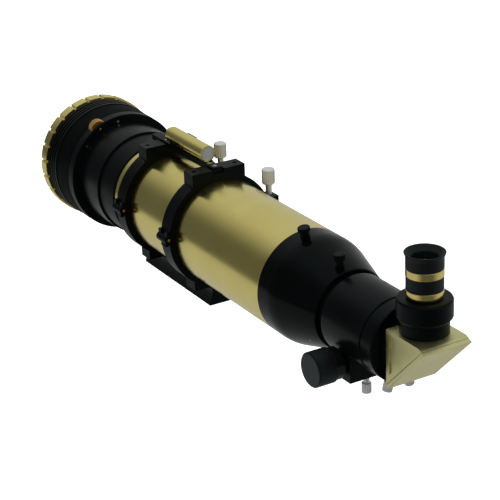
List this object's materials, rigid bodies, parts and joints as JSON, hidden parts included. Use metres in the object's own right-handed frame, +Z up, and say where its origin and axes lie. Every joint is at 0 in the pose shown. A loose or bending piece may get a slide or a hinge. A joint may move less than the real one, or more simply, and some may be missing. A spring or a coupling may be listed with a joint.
{
  "type": "refractor telescope",
  "caption": "Solar refractor telescope in hinged tube rings on a dovetail plate, with a tiltable front filter, a rack focuser, a mirror diagonal and an eyepiece.",
  "frame": {"origin": "centre of the mounting plate's bottom face", "axes": "+Y along the optical axis towards the sky, +X to the right of a person at the eyepiece, +Z up"},
  "size_m": [0.1465, 0.7091, 0.1836],
  "materials": {
    "gold_anodised": "satin pale gold anodised",
    "black_anodised": "satin black anodised",
    "gloss_black": "gloss black",
    "black_plastic": "ribbed matt black",
    "steel": "plain",
    "satin_steel": "satin",
    "orange_brass": "knurled",
    "brass": "machined",
    "bright_tube": "polished",
    "polished_gold": "polished",
    "rubber": "matt",
    "felt": "felt",
    "lens_glass": "coated",
    "filter_glass": "dichroic",
    "mirror": "polished",
    "frosted_screen": "frosted"
  },
  "bodies": {
    "base": {"mounting_plate": "black_anodised", "plate_bolts": "steel", "ring_lower_rear": "black_anodised", "ring_lower_front": "black_anodised", "ring_liners_lower": "felt", "ring_hinge_pins": "steel", "main_tube": "gold_anodised", "front_collar": "black_anodised", "objective_cell": "black_anodised", "lens_flint": "lens_glass", "lens_spacer": "black_anodised", "lens_crown": "lens_glass", "lens_retainer": "black_anodised", "tuner_ring": "black_anodised", "tuner_set_screws": "steel", "rear_cell": "gloss_black", "cell_set_screws": "steel"},
    "ring_caps": {"ring_upper_rear": "black_anodised", "ring_upper_front": "black_anodised", "ring_liners_upper": "felt", "finder_bar": "black_anodised", "finder_screws": "steel", "finder_tube": "gold_anodised", "finder_screen": "frosted_screen"},
    "ring_screw_rear": {"ring_screw_rear": "satin_steel"},
    "ring_screw_front": {"ring_screw_front": "satin_steel"},
    "tuning_wheel": {"tuning_wheel": "orange_brass"},
    "etalon_unit": {"etalon_housing": "black_anodised", "etalon_glass": "filter_glass", "grooved_ring": "black_anodised", "front_filter_glass": "filter_glass", "front_ring": "gold_anodised"},
    "cell_thumbscrew": {"cell_thumbscrew": "black_anodised"},
    "rotator_thumbscrew": {"rotator_thumbscrew": "black_anodised"},
    "focuser": {"focuser_body": "black_anodised", "focuser_end_ring": "black_anodised", "rotator_retainer": "black_anodised", "pinion_housing": "black_anodised", "housing_screws": "steel"},
    "focus_lock_screw": {"focus_lock_screw": "satin_steel"},
    "pinion": {"pinion_shaft": "steel", "focus_knobs": "black_plastic"},
    "drawtube": {"drawtube": "bright_tube", "drawtube_rack": "brass", "drawtube_collar": "black_anodised"},
    "collar_lock_screw_left": {"collar_lock_screw_left": "satin_steel"},
    "collar_lock_screw_right": {"collar_lock_screw_right": "satin_steel"},
    "diagonal": {"diagonal_body": "gold_anodised", "diagonal_cover": "gold_anodised", "diagonal_cover_screws": "steel", "diagonal_mirror": "mirror", "diagonal_nose": "black_anodised", "blocking_filter": "filter_glass", "eyepiece_holder": "black_anodised"},
    "clamp_ring": {"clamp_ring": "black_anodised"},
    "eyepiece": {"eyepiece_barrel": "polished_gold", "eyepiece_grip": "black_anodised", "eyepiece_upper_ring": "polished_gold", "eyecup": "rubber", "eye_lens": "lens_glass"}
  },
  "joints": [
    {"name": "ring_caps_hinge", "type": "hinge", "parent": "base", "child": "ring_caps", "pos_m": [-0.064, -0.0075, 0.085], "axis": [0, -1, 0], "range_deg": [0, 100]},
    {"name": "ring_screw_rear_turn", "type": "hinge", "parent": "ring_caps", "child": "ring_screw_rear", "pos_m": [0.0663, -0.06, 0.112], "axis": [0, 0, 1], "range_deg": [0, 360]},
    {"name": "ring_screw_front_turn", "type": "hinge", "parent": "ring_caps", "child": "ring_screw_front", "pos_m": [0.0663, 0.045, 0.112], "axis": [0, 0, 1], "range_deg": [0, 360]},
    {"name": "etalon_tilt", "type": "hinge", "parent": "base", "child": "etalon_unit", "pos_m": [0.03155, 0.168, 0.02007], "axis": [-0.891, 0, -0.454], "range_deg": [0, 0.5]},
    {"name": "tuning_wheel_turn", "type": "hinge", "parent": "base", "child": "tuning_wheel", "pos_m": [-0.02951, 0.162, 0.13992], "axis": [0, 1, 0], "range_deg": [0, 423.5]},
    {"name": "cell_thumbscrew_turn", "type": "hinge", "parent": "base", "child": "cell_thumbscrew", "pos_m": [-0.01083, -0.256, 0.14101], "axis": [-0.1805, 0, 0.9836], "range_deg": [0, 360]},
    {"name": "rotator_thumbscrew_turn", "type": "hinge", "parent": "base", "child": "rotator_thumbscrew", "pos_m": [-0.00609, -0.31, 0.13163], "axis": [-0.1219, 0, 0.9925], "range_deg": [0, 360]},
    {"name": "focuser_rotation", "type": "hinge", "parent": "base", "child": "focuser", "pos_m": [0, -0.312, 0.082], "axis": [0, 1, 0], "continuous": true},
    {"name": "focus_lock_turn", "type": "hinge", "parent": "focuser", "child": "focus_lock_screw", "pos_m": [0, -0.3432, 0.012], "axis": [0, 0, -1], "range_deg": [0, 360]},
    {"name": "drawtube_slide", "type": "slide", "parent": "focuser", "child": "drawtube", "axis": [0, -1, 0], "range_m": [0, 0.04]},
    {"name": "pinion_spin", "type": "hinge", "parent": "focuser", "child": "pinion", "pos_m": [0, -0.3502, 0.05], "axis": [1, 0, 0], "range_deg": [0, 573.5]},
    {"name": "collar_lock_left_turn", "type": "hinge", "parent": "drawtube", "child": "collar_lock_screw_left", "pos_m": [-0.01127, -0.396, 0.03843], "axis": [-0.2504, 0, -0.9681], "range_deg": [0, 360]},
    {"name": "collar_lock_right_turn", "type": "hinge", "parent": "drawtube", "child": "collar_lock_screw_right", "pos_m": [0.01127, -0.396, 0.03843], "axis": [0.2504, 0, -0.9681], "range_deg": [0, 360]},
    {"name": "diagonal_rotation", "type": "hinge", "parent": "drawtube", "child": "diagonal", "pos_m": [0, -0.399, 0.082], "axis": [0, 1, 0], "continuous": true},
    {"name": "clamp_ring_twist", "type": "hinge", "parent": "diagonal", "child": "clamp_ring", "pos_m": [0, -0.4368, 0.13], "axis": [0, 0, 1], "range_deg": [0, 60]},
    {"name": "eyepiece_slide", "type": "slide", "parent": "diagonal", "child": "eyepiece", "axis": [0, 0, 1], "range_m": [0, 0.026]}
  ],
  "couplings": [
    {"joint": "pinion_spin", "follows": "drawtube_slide", "rad_per_m": 250},
    {"joint": "tuning_wheel_turn", "follows": "etalon_tilt", "ratio": 845.09}
  ]
}
